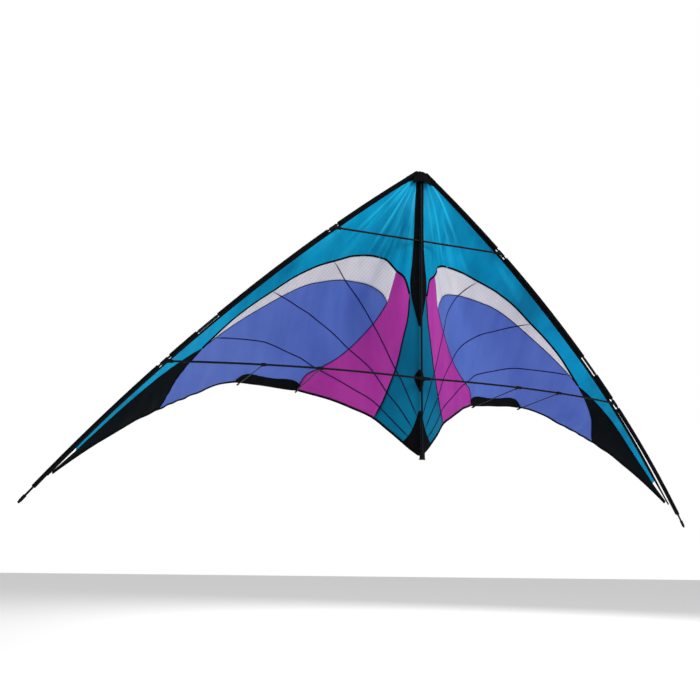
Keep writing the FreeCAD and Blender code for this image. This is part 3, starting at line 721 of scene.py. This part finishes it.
def nose_half(side):
    """Half of the webbing that is folded over the spine's top and the two sleeves' ends."""
    turn = np.linspace(0, math.pi, 18)
    profile = [(-NOSE_NEAR, z) for z in NOSE_ROWS]
    profile += [(-NOSE_NEAR * math.cos(t) + NOSE_LEAN * (1 - math.cos(t)),
                 NOSE_TURN + NOSE_CROWN * math.sin(t)) for t in turn]
    profile += [(NOSE_NEAR + 2 * NOSE_LEAN, z) for z in reversed(NOSE_ROWS)]
    profile = np.array(profile)
    way = np.gradient(profile, axis=0)
    way /= np.linalg.norm(way, axis=1, keepdims=True)
    out = np.stack([-way[:, 1], way[:, 0]], -1)
    front, back = [], []
    for x in np.linspace(0, NOSE_REACH, 14):
        droop = 0.86 * max(0.0, x - 0.009) + 0.1 * max(0.0, x - 0.004)
        share = x / NOSE_REACH
        low = NOSE_FOOT + 0.012 * share
        for grid, off in ((front, 0.0006), (back, -0.0005)):
            p = profile * (1 - 0.3 * share**2, 1) + out * (off + 0.0003 * math.sin(x * 260))
            z = np.maximum(p[:, 1], low) - droop
            grid.append(np.stack([np.full(len(p), x * side), p[:, 0], z], -1))
    return slab(np.stack(front), np.stack(back), named(side) + "nose_webbing", TAPE)


for side in (-1, 1):
    pre = named(side)
    made, threads_at = {}, []
    for name, (first, second, along, across) in PANELS.items():
        thing, flat, area = panel(pre + name + "_cloth", first, second, along, across, side,
                                  SKINS[name])
        made[name] = thing
        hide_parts(pre + name)
        onto_wing(thing, side)
        thing["flat"], thing["area"] = list(flat), area

    bands = {
        "lens_band": (BAND, 0.0062, TAPE), "tip_band": (BAND[-1:] + BAND_END, 0.004, TAPE),
        "strip_band": (BAND[-1:] + STRIP, 0.004, TAPE), "mesh_seam": (MESH_LOW, 0.0022, NAVY),
        "accent_seam": (ACCENT_OUT + [rise(0.287)], 0.0026, NAVY),
        "keel_seam": (KEEL_OUT, 0.0042, TAPE),
    }
    bands.update({key + "_seam": (line, 0.0034, NAVY) for key, line in SEAMS.items()})
    for key, (line, width, material) in bands.items():
        thing, rows, out, _ = ribbon(pre + key, line, width, side, material, taper=key != "lens_band")
        onto_wing(thing, side)
        threads_at += [(row, out) for row in rows]

    hem_line = [rise(u, HEM_WIDTH / 2) for u in (0.004, 0.03, 0.07, 0.11, 0.16, 0.21, 0.25, 0.288, 0.33,
                                         0.37, 0.42, 0.462, 0.515, 0.57, 0.63, 0.69, 0.75, 0.8,
                                         0.85, 0.9, 0.93)]
    hem, rows, out, hem_long = ribbon(pre + "hem", hem_line, HEM_WIDTH, side, TAPE, thick=0.0009,
                                      count=240)
    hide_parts(pre + "trailing_hem")
    onto_wing(hem, side)
    threads_at += [(row, out) for row in rows]

    patches = {
        "edge_patch": (PATCH_TOP, [rise(u, 0.001) for u in (0.29, 0.33, 0.38, 0.42, 0.463)], 30, 8),
        "centre_tape": ([(0.0, 0.022), (0.0, 0.3), (0.0, 0.56)],
                        [(0.0120, 0.022), (0.0145, 0.2), (0.0185, 0.32), (0.0245, 0.40),
                         (0.0225, 0.45), (0.013, 0.51), (0.003, 0.56)], 60, 6),
        "tail_patch": ([(0.0, 0.85), (0.0, 0.93), (0.0, 0.998)],
                       [(0.003, 0.85), (0.02, 0.93), (0.042, 0.996)], 16, 6),
        "tee_patch": ([(0.0, 0.71), (0.0, 0.745), (0.0, 0.785)],
                      [(0.002, 0.71), (0.0145, 0.745), (0.002, 0.785)], 14, 5),
    }
    facing, flat, area = panel(pre + "edge_facing", [drop(u, FACING_TOP) for u, _ in FACING_LOW],
                               [drop(u, low) for u, low in FACING_LOW], 150, 5, side, TAPE,
                               lift=0.0008, thick=0.0008)
    onto_wing(facing, side)
    for key, (first, second, along, across) in patches.items():
        thing, flat, area = panel(pre + key + "_cloth", first, second, along, across, side, TAPE,
                                  lift=0.0011, thick=0.0009)
        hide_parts(pre + key)
        onto_wing(thing, side)

    sewn = stitches(pre + "stitching", threads_at, THREAD)
    onto_wing(sewn, side)

    stops = [SLEEVE_START, UPPER_RUN - WINDOW, UPPER_RUN + WINDOW, FERRULE_RUN - FERRULE_WINDOW,
             FERRULE_RUN + FERRULE_WINDOW, LOWER_RUN - WINDOW, LOWER_RUN + WINDOW,
             EDGE.length - SLEEVE_SHORT]
    for number in range(0, len(stops), 2):
        thing = sleeve_piece(side, number, stops[number], stops[number + 1], SLEEVE_RADIUS,
                             FIRST_TAIL if number == 0 else SLEEVE_TAIL, TAPE)
        onto_wing(thing, side)
        if number == 0:
            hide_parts(pre + "edge_sleeve")
    cover = sleeve_piece(side, 9, COVER_START, COVER_END, COVER_RADIUS, COVER_TAIL, TAPE)
    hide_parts(pre + "nose_cover")
    onto_wing(cover, side)
    half = nose_half(side)
    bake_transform(half)

# ---- Floor, light and camera -----------------------------------------------------------------

def plain(name, colour, rough):
    n = Nodes(name)
    shader = n.add("ShaderNodeBsdfPrincipled")
    shader.inputs["Base Color"].default_value = (*colour, 1)
    shader.inputs["Roughness"].default_value = rough
    return n.done(shader.outputs[0])


FLOOR_Z = cad_box[0][2] - 0.55
floor = add_mesh("floor", [(-14, -14, FLOOR_Z), (14, -14, FLOOR_Z), (14, 14, FLOOR_Z),
                           (-14, 14, FLOOR_Z)], [(0, 1, 2, 3)],
                 plain("pale_floor", (0.93, 0.93, 0.93), 0.9), rounded=False)

world = bpy.data.worlds.new("studio")
world.use_nodes = True
tree = world.node_tree
soft = tree.nodes["Background"]
soft.inputs[1].default_value = 0.62
bright = tree.nodes.new("ShaderNodeBackground")
for shade in (soft, bright):
    shade.inputs[0].default_value = (1.0, 1.0, 1.0, 1)
rays, choose = tree.nodes.new("ShaderNodeLightPath"), tree.nodes.new("ShaderNodeMixShader")
tree.links.new(rays.outputs["Is Camera Ray"], choose.inputs[0])
tree.links.new(soft.outputs[0], choose.inputs[1])
tree.links.new(bright.outputs[0], choose.inputs[2])
tree.links.new(choose.outputs[0], tree.nodes["World Output"].inputs[0])
bpy.context.scene.world = world
bpy.context.scene.view_settings.view_transform = "Standard"


def area_light(name, spot, target, size, power):
    light = bpy.data.lights.new(name, "AREA")
    light.size = size
    light.energy = power
    thing = bpy.data.objects.new(name, light)
    thing.location = spot
    thing.rotation_euler = (Vector(target) - Vector(spot)).to_track_quat("-Z", "Y").to_euler()
    bpy.context.scene.collection.objects.link(thing)


area_light("key", (1.3, -3.2, 2.0), (0, 0.1, 0.25), 1.8, 118)
area_light("back", (2.2, 3.0, 2.4), (0.1, 0.1, 0.3), 1.6, 165)

# The camera's focal length, place and turn, as a fit to the kite's mirror-symmetric shape gave them.
FOCAL_LENGTH = 39.947
CAMERA_PLACE = (-0.94088, -2.08741, -0.51414)
YAW, PITCH, ROLL = -0.32827, 0.25801, -0.01952

lens = bpy.data.cameras.new("camera")
lens.sensor_width = 36
lens.lens = FOCAL_LENGTH
camera = bpy.data.objects.new("camera", lens)
look = Matrix.Rotation(YAW, 3, "Z") @ Matrix.Rotation(PITCH, 3, "X") @ Matrix.Rotation(ROLL, 3, "Y")
right, ahead, up = look.col[0], look.col[1], look.col[2]
pose = Matrix((right, up, -ahead)).transposed().to_4x4()
pose.translation = CAMERA_PLACE
camera.matrix_world = pose
bpy.context.scene.collection.objects.link(camera)
bpy.context.scene.camera = camera
